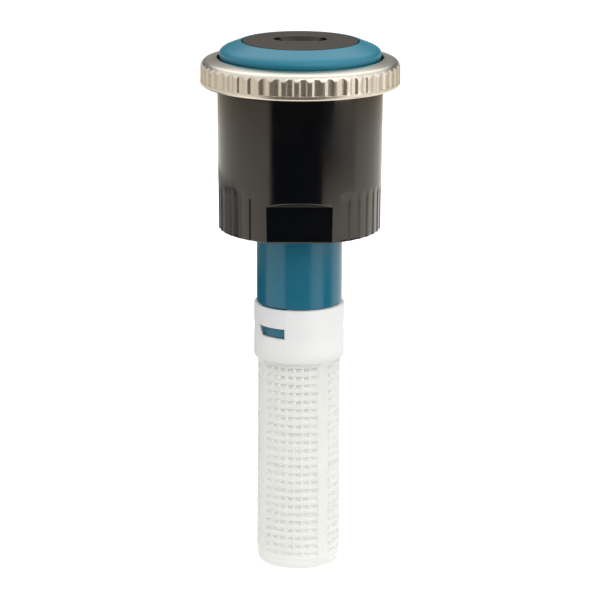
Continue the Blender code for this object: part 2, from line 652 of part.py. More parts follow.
def make_spring(steel_wire):
    """Compression spring that pulls the head down, between the retainer on the shaft and the hub."""
    per_turn = 10
    low, high = RETAINER_TOP + RESTING_GAP + SPRING_WIRE, SPRING_TOP - SPRING_WIRE
    curve = bpy.data.curves.new("return_spring", "CURVE")
    curve.dimensions = "3D"
    curve.bevel_depth = SPRING_WIRE * MM
    curve.bevel_resolution = 1
    curve.use_fill_caps = True
    count = SPRING_TURNS * per_turn + 1
    spline = curve.splines.new("POLY")
    spline.points.add(count - 1)
    for i, point in enumerate(spline.points):
        x, y, z = spot(SPRING_RADIUS, 360.0 * i / per_turn, low + (high - low) * i / (count - 1))
        point.co = (x, y, z, 1.0)
    curve.materials.append(steel_wire)
    spring = bpy.data.objects.new("return_spring", curve)
    bpy.context.collection.objects.link(spring)
    washer = tube_outline(SHAFT_RADIUS + RUNNING_GAP, SPRING_WASHER_RADIUS, *SPRING_WASHER)
    turned("spring_washer", steel_wire, washer, even_angles(PLAIN))


def make_shaft(stainless):
    """Shaft through the whole nozzle, slotted at the top to set the throw, with grooves for its two clips."""
    root, tail = SHAFT_RADIUS - CLIP_GROOVE, THROTTLE_CLIP_BOTTOM - SHAFT_TAIL
    outline = [(0.0, tail), (SHAFT_RADIUS, tail)]
    for bottom in (THROTTLE_CLIP_BOTTOM, RETAINER_CLIP_BOTTOM):
        low, high = bottom - CLIP_SLACK, bottom + CLIP_THICKNESS + CLIP_SLACK
        outline += [(SHAFT_RADIUS, low), (root, low), (root, high), (SHAFT_RADIUS, high)]
    outline += [(SHAFT_RADIUS, SHAFT_TOP), (0.0, SHAFT_TOP)]
    builder = bmesh.new()
    points = [builder.verts.new((r * MM, 0.0, z * MM)) for r, z in outline]
    edges = [builder.edges.new(pair) for pair in zip(points, points[1:])]
    bmesh.ops.spin(builder, geom=points + edges, cent=(0, 0, 0), axis=(0, 0, 1), angle=math.tau,
                   steps=COARSE, use_merge=True)
    shaft = finish("shaft", stainless, builder)
    combine(shaft, box("shaft_slot", SHAFT_SLOT, (0.0, 0.0, SHAFT_TOP)), "DIFFERENCE")
    clip("retainer_clip", stainless, RETAINER_CLIP_BOTTOM)
    clip("throttle_clip", stainless, THROTTLE_CLIP_BOTTOM)
    return shaft


def groove_lift(column, point):
    """How far a stream groove raises one point of the deflector's underside."""
    twist = min(max(point - 1, 0), GROOVE_TWISTS)
    return GROOVE_LIFTS.get(point, 0.0) if (column - twist) % 3 else 0.0


def make_deflector(teal):
    """Rotating deflector: stream grooves below, a hollow for the brake within, a bevelled face above."""
    out, up = CONE_STEP
    cone = [(CONE_START + out * i, DEFLECTOR_HUB_BOTTOM + up * i) for i in range(3)]
    shoulder = [(DEFLECTOR_RADIUS - inward, DEFLECTOR_SHOULDER + rise) for inward, rise in SHOULDER_ROUND]
    edge = CAP_RADIUS + RUNNING_GAP
    pocket_radius, pocket_floor = SEAL_POCKET
    outline = [(DEFLECTOR_BORE, DEFLECTOR_HUB_BOTTOM)] + cone + [
        (CONE_END, DEFLECTOR_BOTTOM), (DEFLECTOR_RADIUS - DEFLECTOR_EDGE, DEFLECTOR_BOTTOM),
        (DEFLECTOR_RADIUS, DEFLECTOR_BOTTOM + DEFLECTOR_EDGE), (DEFLECTOR_RADIUS, DEFLECTOR_SHOULDER)
    ] + shoulder + [
        (edge, CAP_TOP), (edge, LEDGE), (CHAMBER_RADIUS, LEDGE), (CHAMBER_RADIUS, CHAMBER_FLOOR),
        (pocket_radius, CHAMBER_FLOOR), (pocket_radius, pocket_floor), (DEFLECTOR_BORE, pocket_floor)]
    columns = 3 * STREAMS

    def outline_at(angle):
        column = round(angle * columns / 360.0)
        return [(r, z + groove_lift(column, i)) for i, (r, z) in enumerate(outline)]

    return turned("deflector", teal, outline_at, even_angles(columns))


def make_cap(dark):
    """Cap over the brake, with a key-shaped recess for lifting the head and reaching the shaft's slot."""
    plug = CHAMBER_RADIUS - RUNNING_GAP
    face_edge = CAP_RADIUS - CAP_EDGE
    radii = (face_edge, *CAP_FACE_STEPS, CAP_HOLE)
    face = [(r, CAP_TOP + CAP_CROWN * (1.0 - (r / face_edge) ** 2)) for r in radii]
    outline = [
        (CAP_BUSH_RADIUS, CAP_PLUG_BOTTOM), (plug, CAP_PLUG_BOTTOM), (plug, CAP_FLANGE_BOTTOM),
        (CAP_RADIUS, CAP_FLANGE_BOTTOM), (CAP_RADIUS, CAP_TOP - CAP_EDGE)
    ] + face + [(CAP_HOLE, CAP_BUSH_TOP), (CAP_BUSH_RADIUS, CAP_BUSH_TOP)]
    cap = turned("top_cap", dark, outline, even_angles(FINE))
    cutter_top = CAP_TOP + CUTTER_REACH
    well = turned("recess_round", None, tube_outline(0.0, CAP_WELL_RADIUS, CAP_RECESS_FLOOR, cutter_top),
                  even_angles(PLAIN))
    combine(cap, well, "DIFFERENCE")
    length, width = CAP_SLOT
    depth, middle = cutter_top - CAP_RECESS_FLOOR, (cutter_top + CAP_RECESS_FLOOR) / 2
    combine(cap, box("recess_slot", (length, width, depth), (0.0, 0.0, middle)), "DIFFERENCE")
    return cap


def make_brake(acetal, dark):
    """Viscous brake inside the deflector, and the two bearings on the shaft."""
    bore = SHAFT_RADIUS + RESTING_GAP
    lower = tube_outline(bore, CHAMBER_RADIUS - RUNNING_GAP, *LOWER_BEARING)
    turned("lower_bearing", acetal, lower, even_angles(PLAIN))
    upper = tube_outline(bore, UPPER_BEARING_RADIUS, *UPPER_BEARING)
    turned("upper_bearing", acetal, upper, even_angles(COARSE))
    grip = SHAFT_RADIUS + STATOR_GRIP
    bottom, top = STATOR
    stator = [(grip, bottom), (STATOR_RADIUS - STATOR_EDGE, bottom), (STATOR_RADIUS, bottom + STATOR_EDGE),
              (STATOR_RADIUS, top - STATOR_EDGE), (STATOR_RADIUS - STATOR_EDGE, top), (grip, top)]
    turned("brake_stator", dark, stator, even_angles(PLAIN))


def build():
    clear_scene()
    black = material("moulded_black_plastic", "0C0D10", 0.28)
    teal = material("moulded_teal_plastic", "1F6F88", 0.3)
    cap_brown = material("moulded_dark_plastic", "3A3530", 0.42)
    white = material("moulded_white_nylon", "E6E7E2", 0.4)
    acetal = material("natural_acetal", "D9D6CC", 0.4)
    rubber = material("black_rubber", "17171A", 0.75)
    steel = material("satin_stainless_steel", "C9BFB0", 0.3, 1.0)
    wire = material("drawn_stainless_steel", "B9B9B6", 0.25, 1.0)
    make_housing(black)
    make_stem(teal)
    make_seals(rubber)
    make_filter(white)
    make_arc_ring(steel)
    make_arc_collar(black)
    make_nozzle_hub(acetal)
    make_restrictor(acetal)
    make_spring(wire)
    keyed_disc("spring_retainer", acetal, RETAINER_BOTTOM, RETAINER_TOP, RETAINER_RADIUS)
    keyed_disc("throttle_nut", acetal, THROTTLE_BOTTOM, THROTTLE_TOP, THROTTLE_RADIUS)
    make_shaft(wire)
    make_deflector(teal)
    make_cap(cap_brown)
    make_brake(acetal, black)


build()
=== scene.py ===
"""Looks of a pop-up rotary sprinkler nozzle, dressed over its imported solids.

Lengths are in millimetres and angles in degrees. Angle 0 faces the front (-Y), and angles grow towards +X.
"""
import math

import bmesh
import bpy
from mathutils import Matrix, Vector


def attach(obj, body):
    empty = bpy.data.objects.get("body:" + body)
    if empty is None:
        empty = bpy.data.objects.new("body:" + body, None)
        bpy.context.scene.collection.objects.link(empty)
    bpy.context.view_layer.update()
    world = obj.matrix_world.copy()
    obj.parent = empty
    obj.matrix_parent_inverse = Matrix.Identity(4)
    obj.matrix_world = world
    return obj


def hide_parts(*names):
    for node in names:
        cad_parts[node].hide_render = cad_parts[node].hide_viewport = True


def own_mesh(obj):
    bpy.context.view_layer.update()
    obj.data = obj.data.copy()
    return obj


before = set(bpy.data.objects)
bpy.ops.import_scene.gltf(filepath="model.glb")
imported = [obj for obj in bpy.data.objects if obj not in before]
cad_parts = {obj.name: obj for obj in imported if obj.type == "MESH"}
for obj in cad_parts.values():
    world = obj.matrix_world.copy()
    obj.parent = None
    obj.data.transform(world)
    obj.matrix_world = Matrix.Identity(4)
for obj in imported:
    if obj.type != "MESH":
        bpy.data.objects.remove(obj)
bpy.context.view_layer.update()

MM = 0.001

# Knurled ring
RING_RADIUS = 14.3
RING_BORE = 11.95
RING_LIP_BORE = 10.5
RING_BOTTOM, RING_TOP = 21.0, 24.9
RING_LIP_TOP = 21.9
RING_FILLET = 1.1
FILLET_STEPS = 10
RING_TOP_SLOPE = 12.0            # how steeply the top falls from the bore to the fillet
RING_GROOVES = 48
GROOVE_DEPTH = 0.185
# Shares of the pitch: the land between two grooves, and each sloped wall
GROOVE_LAND, GROOVE_WALL = 0.22, 0.28
GROOVE_START = (21.64, 21.66)    # heights between which a groove's lower end steps in
RING_TURN = -2.0                 # angle of one land's middle from the front

# Housing
HOUSING_TOP = 20.8
HOUSING_RADIUS = 11.72
HOUSING_TOP_RADIUS = 11.88
FLAT_DISTANCE = 10.8
FLAT_HALF_ANGLE = 23.0
FLAT_HEIGHT = 5.25
FLAT_RAMP = 0.75                 # rise of the slope above a flat, as a share of its depth
FLUTE_HEIGHT = 6.0
FLUTE_RUN_OUT = 1.1              # height over which a flute fades into the wall
FLUTE_DEPTH = 0.165
FLUTE_START = 29.0
FLUTE_PITCH = 9.0
FLUTE_STEP = 2.15                # angle over which a flute steps back out
THREAD_PITCH = 25.4 / 28
THREAD_CREST, THREAD_ROOT = 7.45, 7.92
THREAD_SPAN = (1.3, 8.4)

# Stem
STEM_RADIUS = 6.2
STEM_BORE = 4.7
SPIGOT_RADIUS = 5.6
STEM_SHOULDER = -10.97
LUG_RADIUS = 6.05
LUG_SPAN = (-15.32, -13.98)
LUG_MIDDLES = (-39.65, 140.35)
LUG_HALF_ANGLE = 20.35
RIB_RADIUS = 4.1
RIB_MIDDLES = (90.0, 270.0)
RIB_HALF_ANGLE = 10.0

# Filter basket
COLLAR_RADIUS = 6.58
COLLAR_BORE = 5.8
COLLAR_TOP = -11.07
RELIEF_RADIUS = 6.2
WINDOW_SPAN = (-15.42, -13.88)
WINDOW_LEFT = (-53.4, -62.4)     # slanted end: angle at the bottom and at the top
WINDOW_LEFT_REST = -60.7         # angle of that column above and below the window
WINDOW_UNDERCUT = 3.5            # angle by which that end leans back under the collar
FLARE = (-19.9, -18.65)          # heights between which the cage widens into the collar
CAGE_TOP_RADIUS = 6.0
CAGE_RADIUS = 6.16
CAGE_SPAN = (-48.9, -19.5)
CAGE_BORE = 4.95
BAR_BORE = 5.0
RIB_FACE = 6.04                  # outside of the upright ribs, seen in the slots
POST_RISE = 0.06                 # how far the posts stand out past the bars
POSTS = ((-69.0, -52.0), (28.0, 45.0), (111.0, 128.0), (208.0, 225.0))
CELLS = (7, 6, 7, 6)             # openings across the panel after each post
RIB_CORE, RIB_FLANK = 1.2, 1.8   # half angles of a rib's face and of its foot
SLOT_ROWS = 24
SLOT_PITCH = 1.222
FIRST_SLOT = -20.07
SLOT_HALF = 0.27
SLOT_HALF_INSIDE = 0.07          # the slots narrow inwards, with the mould's draft
# From a bar's edge: height, and how far it is rounded back
BAR_ROUND = ((0.0, 0.2), (0.06, 0.09), (0.16, 0.02))
PANEL_TOP, PANEL_BOTTOM = -19.06, -49.42
PANEL_LEDGE = 0.05
FILTER_BOTTOM = -50.37
FOOT_DRAFT = (-49.7, -48.9, 0.2) # heights between which the cage draws in above its foot, and by how much
FILTER_FLOOR = -49.3

# Deflector, cap and funnel
DEFLECTOR_RADIUS = 11.7
RIM_FOOT_RADIUS = 11.42          # its rim draws in below the rounded edge
STREAMS = 16
STREAM_TWIST = 22.5              # how far a groove turns on its way out
CAP_RADIUS = 8.3
CAP_TOP = 27.25                  # at its edge
CAP_CROWN = 0.26                 # how far its face rises to the middle
RECESS_FLOOR = 25.9
RECESS_OVAL = (3.8, 2.1, 2.6)    # half length, half width, and how square the oval is: 2 would be an ellipse
RECESS_DISH = 1.0                # depth of the dish at the key's hole
POCKET_REACH = 26.0              # how far the deep pockets reach round from the oval's ends, in degrees
RECESS_LIP = (0.12, 0.8)         # thickness of the edge that the key hooks under, and how far it reaches over
SHUTTER_ARC = (-105.0, 15.0)
SHUTTER_BORE = 3.05

# Shaft and spring
SHAFT_RADIUS = 1.4
SHAFT_SPAN = (-15.55, 25.75)
SHAFT_SLOT = (4.0, 0.7, 1.6)
CLIP_GROOVES = (-14.6, -4.75)
CLIP_GROOVE_HEIGHT = 0.5
SPRING_SPAN = (-2.9, 9.7)
SPRING_RADIUS, SPRING_WIRE, SPRING_TURNS = 2.5, 0.3, 6


# Shaping

def spot(radius, angle, z):
    turn = math.radians(angle)
    return (radius * math.sin(turn) * MM, -radius * math.cos(turn) * MM, z * MM)


def blend(low, high, share):
    """From low to high along a soft S-curve."""
    share = min(max(share, 0.0), 1.0)
    return low + (high - low) * share * share * (3.0 - 2.0 * share)


def even_angles(count):
    return [360.0 * i / count for i in range(count)]


def in_order(*groups):
    return sorted({round(angle % 360.0, 3) for group in groups for angle in group})


def apart(angle, middle):
    return abs((angle - middle + 180.0) % 360.0 - 180.0)


def rounded(corners, steps=4):
    """Closed outline through corners given as (radius, height, rounding), rounded by soft curves."""
    outline = []
    for i, (r, z, size) in enumerate(corners):
        if not size:
            outline.append((r, z))
            continue
        ends = []
        for other in (corners[i - 1], corners[(i + 1) % len(corners)]):
            length = math.hypot(other[0] - r, other[1] - z) or 1.0
            reach = min(size / length, 0.5)
            ends.append((r + (other[0] - r) * reach, z + (other[1] - z) * reach))
        for step in range(steps + 1):
            t = step / steps
            a, b, c = (1 - t) ** 2, 2 * t * (1 - t), t * t
            outline.append((a * ends[0][0] + b * r + c * ends[1][0], a * ends[0][1] + b * z + c * ends[1][1]))
    return outline


def turned(outline_at, angles):
    """Points and faces of a closed outline turned about the axis. The outline may change with the angle."""
    loops = [outline_at(angle) for angle in angles]
    size = len(loops[0])
    points = [spot(r, angle, z) for angle, loop in zip(angles, loops) for r, z in loop]
    faces = []
    for i in range(len(angles)):
        here, beyond = i * size, (i + 1) % len(angles) * size
        for j in range(size):
            k = (j + 1) % size
            faces.append((here + j, here + k, beyond + k, beyond + j))
    return points, faces


def swept(path, section):
    """Points and faces of a section swept along a path. Each step gives the section's own points."""
    size = len(section(*path[0]))
    points = [point for step in path for point in section(*step)]
    faces = [tuple(range(size)), tuple(range(len(points) - size, len(points)))]
    for i in range(len(path) - 1):
        for j in range(size):
            k = (j + 1) % size
            faces.append((i * size + j, i * size + k, (i + 1) * size + k, (i + 1) * size + j))
    return points, faces


def make(name, shape, finish, body, nodes=(), crease=35.0):
    """One piece from points and faces: welded, turned outward, smooth with its real creases kept sharp."""
    points, faces = shape
    builder = bmesh.new()
    corners = [builder.verts.new(point) for point in points]
    for face in faces:
        builder.faces.new([corners[i] for i in face])
    bmesh.ops.remove_doubles(builder, verts=builder.verts, dist=1e-7)
    bmesh.ops.dissolve_degenerate(builder, edges=builder.edges, dist=1e-8)
    bmesh.ops.recalc_face_normals(builder, faces=builder.faces)
    mesh = bpy.data.meshes.new(name)
    builder.to_mesh(mesh)
    builder.free()
    mesh.shade_smooth()
    mesh.set_sharp_from_angle(angle=math.radians(crease))
    mesh.materials.append(finish)
    made = bpy.data.objects.new(name, mesh)
    bpy.context.collection.objects.link(made)
    even = made.modifiers.new("flat_faces_stay_flat", "WEIGHTED_NORMAL")
    even.keep_sharp = True
    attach(made, body)
    if nodes:
        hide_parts(*nodes)
    return made


# Finishes

def linear(colour):
    """sRGB hex to the linear values that a shader takes."""
    channels = [int(colour[i:i + 2], 16) / 255.0 for i in (0, 2, 4)]
    return [c / 12.92 if c <= 0.04045 else ((c + 0.055) / 1.055) ** 2.4 for c in channels] + [1.0]


def add(tree, kind, inputs=None, **settings):
    """Adds a node. An input given as another node's output is linked, and anything else is set."""
    node = tree.nodes.new("ShaderNode" + kind)
    for key, value in settings.items():
        setattr(node, key, value)
    for key, value in (inputs or {}).items():
        if isinstance(value, bpy.types.NodeSocket):
            tree.links.new(value, node.inputs[key])
        else:
            node.inputs[key].default_value = value
    return node


def per_mm(size):
    """Pattern scale for a feature of this many millimetres."""
    return 1.0 / (size * MM)


def blank(name):
    made = bpy.data.materials.new(name)
    made.use_nodes = True
    made.node_tree.nodes.clear()
    return made, made.node_tree


def moulded(name, colours, roughness, ior, grain, grain_depth, flow=4.0, soak=0.0, through=None,
            glint="FFFFFF", shine=0.5):
    """Injection-moulded plastic: fine skin from the mould, broad faint flow marks in colour and gloss.

    Light that comes through is given as two heights with its share at each."""
    made, tree = blank(name)
    place = add(tree, "TexCoord").outputs["Object"]
    marks = add(tree, "TexNoise", {"Vector": place, "Scale": per_mm(flow), "Detail": 3.0}).outputs["Fac"]
    skin = add(tree, "TexNoise", {"Vector": place, "Scale": per_mm(grain), "Detail": 2.0}).outputs["Fac"]
    colour = add(tree, "MixRGB", {"Fac": marks, "Color1": linear(colours[0]), "Color2": linear(colours[1])})
    gloss = add(tree, "MapRange", {"Value": marks, "From Min": 0.3, "From Max": 0.7, "To Min": roughness[0],
                                   "To Max": roughness[1]})
    relief = add(tree, "Bump", {"Height": skin, "Strength": 1.0, "Distance": grain_depth * MM})
    shader = add(tree, "BsdfPrincipled", {
        "Base Color": colour.outputs["Color"], "Roughness": gloss.outputs["Result"], "IOR": ior,
        "Normal": relief.outputs["Normal"], "Specular Tint": linear(glint), "Specular IOR Level": shine,
        "Subsurface Weight": soak, "Subsurface Radius": (1.0, 1.0, 0.95),
        "Subsurface Scale": 0.6 * MM}).outputs["BSDF"]
    if through:
        (low, thin), (high, thick) = through
        height = add(tree, "SeparateXYZ", {"Vector": place}).outputs["Z"]
        share = add(tree, "MapRange", {"Value": height, "From Min": low * MM, "From Max": high * MM,
                                       "To Min": thin, "To Max": thick}).outputs["Result"]
        lit = add(tree, "BsdfTranslucent", {"Color": colour.outputs["Color"]}).outputs["BSDF"]
        shader = add(tree, "MixShader", {0: share, 1: shader, 2: lit}).outputs["Shader"]
    add(tree, "OutputMaterial", {"Surface": shader})
    return made


def machined(name, colours, roughness, line, line_depth, along_axis=False):
    """Metal with tool or drawing lines: rings about the axis, or lines along it."""
    made, tree = blank(name)
    place = add(tree, "TexCoord").outputs["Object"]
    parts = add(tree, "SeparateXYZ", {"Vector": place}).outputs
    flat = add(tree, "CombineXYZ", {"X": parts["X"], "Y": parts["Y"]}).outputs["Vector"]
    radius = add(tree, "VectorMath", {0: flat}, operation="LENGTH").outputs["Value"]
    rings = add(tree, "CombineXYZ", {"X": radius, "Z": parts["Z"]}).outputs["Vector"]
    lines = add(tree, "TexNoise", {"Vector": flat if along_axis else rings, "Scale": per_mm(line),
                                   "Detail": 3.0}).outputs["Fac"]
    clouds = add(tree, "TexNoise", {"Vector": place, "Scale": per_mm(2.5), "Detail": 3.0}).outputs["Fac"]
    colour = add(tree, "MixRGB", {"Fac": clouds, "Color1": linear(colours[0]), "Color2": linear(colours[1])})
    gloss = add(tree, "MapRange", {"Value": lines, "From Min": 0.3, "From Max": 0.7, "To Min": roughness[0],
                                   "To Max": roughness[1]})
    relief = add(tree, "Bump", {"Height": lines, "Strength": 1.0, "Distance": line_depth * MM})
    shader = add(tree, "BsdfPrincipled", {
        "Base Color": colour.outputs["Color"], "Metallic": 1.0, "Roughness": gloss.outputs["Result"],
        "Normal": relief.outputs["Normal"]})
    add(tree, "OutputMaterial", {"Surface": shader.outputs["BSDF"]})
    return made


# Black ABS from a polished mould: a deep, nearly mirror-like black that shows what stands around it.
black_abs = moulded("black_abs_moulded", ("06080C", "080A0E"), (0.13, 0.17), 1.65, 0.3, 0.0003,
                    glint="F6ECDE")
# Teal acetal from a polished mould: a clear gloss over a deep solid colour.
polished_teal = moulded("teal_acetal_polished", ("0F637B", "126880"), (0.22, 0.28), 1.48, 0.25, 0.0003)
# Teal acetal from a finely blasted mould: the same plastic with a soft, wide sheen.
satin_teal = moulded("teal_acetal_satin", ("0D6E84", "10738A"), (0.32, 0.4), 1.48, 0.16, 0.0008)
# Charcoal glass-filled nylon, moulded with a fine spark texture: a dull brown-grey with a soft sheen.
charcoal_nylon = moulded("charcoal_filled_nylon_moulded", ("34302A", "3C3832"), (0.5, 0.6), 1.5, 0.14, 0.003,
                         shine=0.2)
# White nylon, moulded thin: light soaks in and comes through it, so its shadows stay pale.
white_nylon = moulded("white_nylon_moulded", ("FCFCFA", "FEFEFC"), (0.36, 0.46), 1.52, 0.3, 0.0006, soak=0.6,
                      through=((-19.5, 0.52), (-17.5, 0.18)))
# Natural acetal, moulded: creamy white, slightly waxy.
natural_acetal = moulded("natural_acetal_moulded", ("DAD6CA", "E0DCD1"), (0.32, 0.42), 1.48, 0.25, 0.0015,
                         soak=0.2)
# Nitrile rubber, moulded: dull black with a faint bloom.
nitrile_rubber = moulded("nitrile_rubber_moulded", ("141415", "1C1C1D"), (0.55, 0.7), 1.52, 0.1, 0.004,
                         flow=2.0)
# Stainless steel, turned and tumbled: warm, softly blurred reflections with faint rings from the tool. The
# real tool lines are about 0.05 mm apart, drawn coarser here so that they show.
tumbled_steel = machined("stainless_steel_turned_tumbled", ("D5CEC1", "DDD7CA"), (0.27, 0.33), 0.12, 0.0004)
# Stainless steel, drawn: brighter, with fine lines along its length.
drawn_steel = machined("stainless_steel_drawn", ("BEBEBB", "C6C6C3"), (0.18, 0.3), 0.08, 0.001,
                       along_axis=True)


# Housing and its thread

def from_flat(angle):
    """Angle from the nearer spanner flat's middle, 0 to 90."""
    away = apart(angle, 0.0)
    return min(away, 180.0 - away)


def wall_radius(z):
    return HOUSING_RADIUS + (HOUSING_TOP_RADIUS - HOUSING_RADIUS) * z / HOUSING_TOP


def flute_cut(away):
    past = (away - FLUTE_START) % FLUTE_PITCH
    if away < FLUTE_START:
        return 0.0
    return FLUTE_DEPTH * past / FLUTE_PITCH * blend(0.0, 1.0, (FLUTE_PITCH - past) / FLUTE_STEP)


def housing_outline(angle):
    away = from_flat(angle)
    cut = flute_cut(away)
    chord = FLAT_DISTANCE / math.cos(math.radians(min(away, FLAT_HALF_ANGLE)))
    on_flat = away <= FLAT_HALF_ANGLE
    ramp = max(0.1, wall_radius(FLAT_HEIGHT) - chord) if on_flat else 0.1

    def wall(z, into=cut):
        return min(wall_radius(z) - into, chord) if on_flat and z <= FLAT_HEIGHT else wall_radius(z) - into

    ramp_top = FLAT_HEIGHT + FLAT_RAMP * ramp
    corners = [
        (wall(0.0), 0.0, 0.2), (wall(0.5), 0.5, 0), (wall(2.5), 2.5, 0),
        (wall(FLAT_HEIGHT), FLAT_HEIGHT, 0.01), (wall(ramp_top), ramp_top, 0.12), (wall(FLUTE_HEIGHT),
        FLUTE_HEIGHT, 0.2),
        (wall(FLUTE_HEIGHT + FLUTE_RUN_OUT, 0.0), FLUTE_HEIGHT + FLUTE_RUN_OUT, 0.2),
        (wall(9.0, 0.0), 9.0, 0),
        (wall(HOUSING_TOP - 0.5, 0.0), HOUSING_TOP - 0.5, 0), (HOUSING_TOP_RADIUS, HOUSING_TOP, 0.15),
        (10.55, HOUSING_TOP, 0.1),
        (10.55, 16.4, 0), (9.2, 16.3, 0.1), (9.2, 15.6, 0.1), (9.7, 15.6, 0), (9.7, 11.6, 0.3),
        (6.35, 11.6, 0.1), (6.35, 10.0, 0.1), (THREAD_ROOT, 10.0, 0), (THREAD_ROOT, 0.6, 0),
        (THREAD_ROOT + 0.4, 0.0, 0.1),
        (8.7, 0.0, 0.15), (8.85, 8.0, 0.3), (9.75, 8.0, 0.3), (9.9, 0.0, 0.15)]
    return rounded(corners)


def housing_angles():
    walls = [FLUTE_START + FLUTE_PITCH * i for i in range(1, 7)]
    quarter = [FLUTE_START, FLAT_HALF_ANGLE - 0.6, FLAT_HALF_ANGLE, FLAT_HALF_ANGLE + 0.5]
    quarter += [wall - FLUTE_STEP * share for wall in walls for share in (0.0, 0.25, 0.5, 0.75, 1.0)]
    return in_order(even_angles(180), quarter, [180.0 - a for a in quarter], [180.0 + a for a in quarter],
                    [360.0 - a for a in quarter])


make("housing_moulding", turned(housing_outline, housing_angles()), black_abs, "base",
     ["housing"], crease=50.0)


def thread_section(angle, z, share):
    """Ridge between two grooves of the riser thread, fading out at both ends."""
    crest = THREAD_ROOT + (THREAD_CREST - THREAD_ROOT) * share
    root = THREAD_ROOT + 0.05
    return [spot(root, angle, z - 0.4), spot(crest, angle, z - 0.08), spot(crest, angle, z + 0.08),
            spot(root, angle, z + 0.4)]


def thread_path():
    bottom, top = THREAD_SPAN
    turns = (top - bottom) / THREAD_PITCH
    count = round(turns * 60)
    steps = []
    for i in range(count + 1):
        fade = min(i, count - i) / 20.0
        share = i / count
        steps.append((360.0 * turns * share, bottom + (top - bottom) * share, max(min(fade, 1.0), 0.05)))
    return steps


make("riser_thread", swept(thread_path(), thread_section), black_abs, "base")


# Knurled ring

def groove_share(angle):
    """How deep the grip is cut at this angle, 0 to 1."""
    place = (angle - RING_TURN) * RING_GROOVES / 360.0 % 1.0
    from_land = min(place, 1.0 - place)
    return blend(0.0, 1.0, (from_land - GROOVE_LAND / 2) / GROOVE_WALL)


def ring_outline(angle):
    depth = GROOVE_DEPTH * groove_share(angle)
    slope = math.radians(RING_TOP_SLOPE)
    middle = RING_RADIUS - RING_FILLET
    fall = (middle + RING_FILLET * math.sin(slope) - RING_BORE) * math.tan(slope)
    corner = RING_TOP - fall - RING_FILLET * math.cos(slope)
    grip = []
    for z in GROOVE_START + (22.2, 23.2, corner):
        ramp = (z - GROOVE_START[0]) / (GROOVE_START[1] - GROOVE_START[0])
        grip.append((RING_RADIUS - depth * min(max(ramp, 0.0), 1.0), z, 0))
    for step in range(1, FILLET_STEPS + 1):
        turn = math.radians((90.0 - RING_TOP_SLOPE) * step / FILLET_STEPS)
        r = middle + RING_FILLET * math.cos(turn)
        grip.append((min(r, RING_RADIUS - depth), corner + RING_FILLET * math.sin(turn), 0))
    return rounded([(RING_LIP_BORE, RING_BOTTOM, 0.1), (RING_RADIUS, RING_BOTTOM, 0.3)] + grip + [
        (RING_BORE, RING_TOP, 0.12), (RING_BORE, RING_LIP_TOP, 0.1), (RING_LIP_BORE, RING_LIP_TOP, 0.1)])


def ring_angles():
    pitch = 360.0 / RING_GROOVES
    half = [GROOVE_LAND / 2 + GROOVE_WALL * step / 6 for step in range(7)]
    shares = half + [0.5] + [1.0 - share for share in reversed(half)]
    return [RING_TURN + pitch * (i + share) for i in range(RING_GROOVES) for share in shares]


make("knurled_ring", turned(ring_outline, ring_angles()), tumbled_steel, "arc_ring",
     ["arc_ring"], crease=30.0)


# Deflector, cap and funnel

def deflector_outline(angle):
    cone = [(3.4, 18.0), (4.4, 18.83), (5.4, 19.66), (6.4, 20.49), (7.4, 21.32), (8.4, 22.15), (9.3, 22.9),
            (10.4, 22.9), (11.4, 22.9)]
    under = [(1.7, 18.0)]
    for i, (r, z) in enumerate(cone):
        along = i / (len(cone) - 1)
        place = (angle - STREAM_TWIST * along ** 1.5) * STREAMS / 360.0 % 1.0
        scoop = 1.0 - abs(2.0 * place - 1.0) ** 3
        under.append((r, z + 0.75 * scoop * blend(0.0, 1.0, along * 2.2)))
    edge = under[-1][1]
    return under + [(RIM_FOOT_RADIUS, edge + 0.25)] + rounded([
        (RIM_FOOT_RADIUS, 24.4, 0), (DEFLECTOR_RADIUS + 0.1, 25.95, 1.3), (8.45, CAP_TOP, 0.2),
        (8.45, 25.35, 0.1), (5.6, 25.35, 0.1), (5.6, 20.9, 0.3), (2.9, 20.9, 0.1), (2.9, 18.9, 0.1),
        (1.7, 18.9, 0)], steps=6)


make("deflector_moulding", turned(deflector_outline, even_angles(256)), satin_teal, "deflector",
     ["deflector"])


def cap_outline(angle):
    """Oval dish for the key, with a deep pocket at each end where the key hooks under a lip."""
    half_length, half_width, square = RECESS_OVAL
    turn = math.radians(angle)
    across, along = abs(math.cos(turn)) / half_width, abs(math.sin(turn)) / half_length
    edge = (across ** square + along ** square) ** (-1 / square)

    def face(r):
        return (r, CAP_TOP + CAP_CROWN * (1.0 - (r / CAP_RADIUS) ** 2), 0)

    top = face(edge)[1]
    if min(apart(angle, 90.0), apart(angle, 270.0)) < POCKET_REACH:
        lip, reach = RECESS_LIP
        inside = [(edge, top - lip, 0.03), (edge + reach, top - lip - 0.1, 0),
                  (edge + reach, RECESS_FLOOR, 0.2), (1.65, RECESS_FLOOR, 0.08)]
    else:
        way = edge - 1.65
        inside = [(edge - 0.1 * way, top - 0.16 * RECESS_DISH, 0.03),
                  (edge - 0.4 * way, top - 0.55 * RECESS_DISH, 0),
                  (edge - 0.8 * way, top - 0.92 * RECESS_DISH, 0.2), (1.65, top - RECESS_DISH, 0.08)]
    return rounded([
        (2.45, 24.2, 0.1), (5.45, 24.2, 0.2), (5.45, 26.0, 0.1), (CAP_RADIUS, 26.0, 0.1),
        (CAP_RADIUS, CAP_TOP, 0.25), face(7.4), face(6.4), face(5.4),
        (edge, top, 0.05)] + inside + [(1.65, 25.4, 0), (2.45, 25.4, 0)])


def cap_angles():
    sides = [end + way * (POCKET_REACH + step)
             for end in (90.0, 270.0) for way in (-1, 1) for step in (-0.3, 0.3)]
    return in_order(even_angles(144), sides)


make("key_cap", turned(cap_outline, cap_angles()), charcoal_nylon, "deflector", ["top_cap"])


